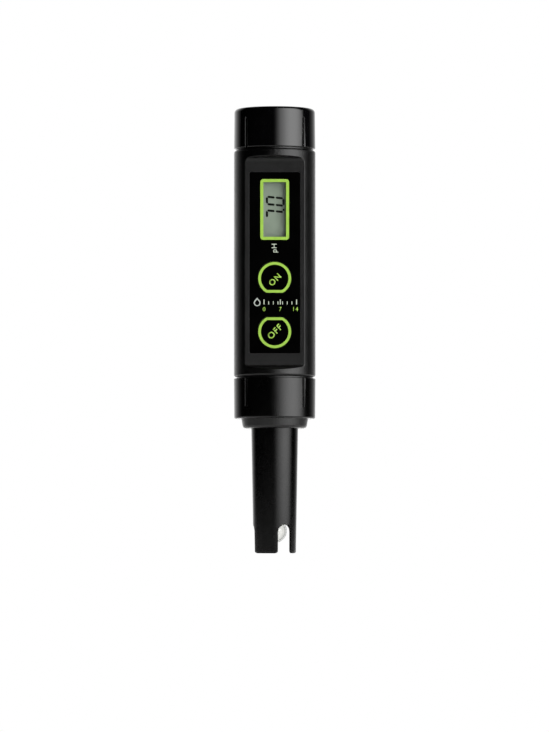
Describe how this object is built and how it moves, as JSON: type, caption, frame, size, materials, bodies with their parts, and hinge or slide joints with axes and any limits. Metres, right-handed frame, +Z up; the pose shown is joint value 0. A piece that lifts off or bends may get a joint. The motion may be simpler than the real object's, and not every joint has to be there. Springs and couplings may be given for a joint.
{
  "type": "ph test pen",
  "caption": "Pen-style pH tester: round barrel with flat label front, display and two keys, screw battery cap, and a screw-held electrode with a guarded glass bulb.",
  "frame": {"origin": "on the pen's axis, at the tip plane of the electrode guard", "axes": "+Z up the pen's axis towards the battery cap, the flat label front faces -Y, +X to the right when the front is seen"},
  "size_m": [0.03, 0.03, 0.1632],
  "materials": {
    "barrel_plastic": "fine-grained moulded ABS",
    "cap_plastic": "glossy moulded ABS",
    "ring_plastic": "semi-gloss moulded ABS",
    "collar_plastic": "matt moulded ABS",
    "tube_plastic": "satin moulded ABS",
    "overlay_film": "printed polyester film with lime line work",
    "key_film": "printed key caps, matt",
    "window_clear": "clear polished polycarbonate",
    "lcd_glass": "polished float glass",
    "lcd_film": "grey-green reflective film",
    "frame_plastic": "moulded nylon",
    "white_plastic": "moulded PBT",
    "board_laminate": "green solder mask",
    "chip_epoxy": "moulded epoxy",
    "chip_ceramic": "fired ceramic",
    "can_aluminium": "drawn, lightly brushed",
    "trimmer_plastic": "blue moulded body",
    "trimmer_brass": "turned brass",
    "cell_steel": "nickel-plated steel",
    "spring_steel": "nickel-plated spring steel",
    "screw_steel": "zinc-plated steel",
    "contact_gold": "gold-plated brass",
    "seal_rubber": "nitrile rubber",
    "silicone_rubber": "translucent silicone",
    "zebra_rubber": "banded conductive elastomer",
    "bulb_glass": "milky blown glass",
    "silver_wire": "silver with a chloride-coated tip",
    "porous_ceramic": "unglazed porous ceramic",
    "lead_insulation": "insulated hook-up lead"
  },
  "bodies": {
    "barrel": {"barrel": "barrel_plastic", "front_overlay": "overlay_film", "display_window": "window_clear", "on_switch_dome": "spring_steel", "off_switch_dome": "spring_steel", "switch_housings": "chip_epoxy", "lcd_glass": "lcd_glass", "lcd_reflector": "lcd_film", "lcd_frame": "frame_plastic", "zebra_strips": "zebra_rubber", "main_board": "board_laminate", "measuring_chip": "chip_epoxy", "controller_chip": "chip_epoxy", "surface_parts": "chip_ceramic", "storage_capacitor": "can_aluminium", "trimmer_housing": "trimmer_plastic", "battery_holder": "frame_plastic", "button_cells": "cell_steel", "battery_base_contact": "spring_steel", "return_contact": "spring_steel", "deck_screws": "screw_steel", "neck_seal": "seal_rubber", "electrode_socket": "frame_plastic", "socket_contacts": "contact_gold", "socket_screws": "screw_steel", "signal_leads": "lead_insulation"},
    "cap_contact": {"cap_contact_disc": "spring_steel", "cap_contact_spring": "spring_steel"},
    "cap": {"battery_cap": "cap_plastic"},
    "on_key": {"on_key": "key_film", "on_switch_stem": "white_plastic"},
    "off_key": {"off_key": "key_film", "off_switch_stem": "white_plastic"},
    "trimmer": {"trimmer_rotor": "trimmer_brass"},
    "electrode": {"electrode_collar": "collar_plastic", "electrode_seal": "seal_rubber", "electrode_tube": "tube_plastic", "glass_bulb": "bulb_glass", "inner_wire": "silver_wire", "reference_wire": "silver_wire", "reference_junction": "porous_ceramic", "stem_seal": "silicone_rubber", "tube_plug": "collar_plastic", "connector_block": "frame_plastic", "connector_pins": "contact_gold"},
    "ring": {"retaining_ring": "ring_plastic"}
  },
  "joints": [
    {"name": "cap_lift", "type": "slide", "parent": "barrel", "child": "cap_contact", "axis": [0, 0, 1], "range_m": [0, 0.008]},
    {"name": "cap_turn", "type": "hinge", "parent": "cap_contact", "child": "cap", "pos_m": [0, 0, 0.156], "axis": [0, 0, 1], "range_deg": [0, 1440]},
    {"name": "electrode_withdraw", "type": "slide", "parent": "barrel", "child": "electrode", "axis": [0, 0, -1], "range_m": [0, 0.008]},
    {"name": "ring_turn", "type": "hinge", "parent": "electrode", "child": "ring", "pos_m": [0, 0, 0.057], "axis": [0, 0, -1], "range_deg": [0, 1440]},
    {"name": "on_press", "type": "slide", "parent": "barrel", "child": "on_key", "axis": [0, 1, 0], "range_m": [0, 0.0003], "deforming": ["on_switch_dome"]},
    {"name": "off_press", "type": "slide", "parent": "barrel", "child": "off_key", "axis": [0, 1, 0], "range_m": [0, 0.0003], "deforming": ["off_switch_dome"]},
    {"name": "trimmer_turn", "type": "hinge", "parent": "barrel", "child": "trimmer", "pos_m": [0, -0.0075, 0.1496], "axis": [0, 0, 1], "range_deg": [-130, 130]}
  ],
  "couplings": [
    {"joint": "cap_lift", "follows": "cap_turn", "m_per_rad": 0.00031831},
    {"joint": "electrode_withdraw", "follows": "ring_turn", "m_per_rad": 0.00031831}
  ]
}
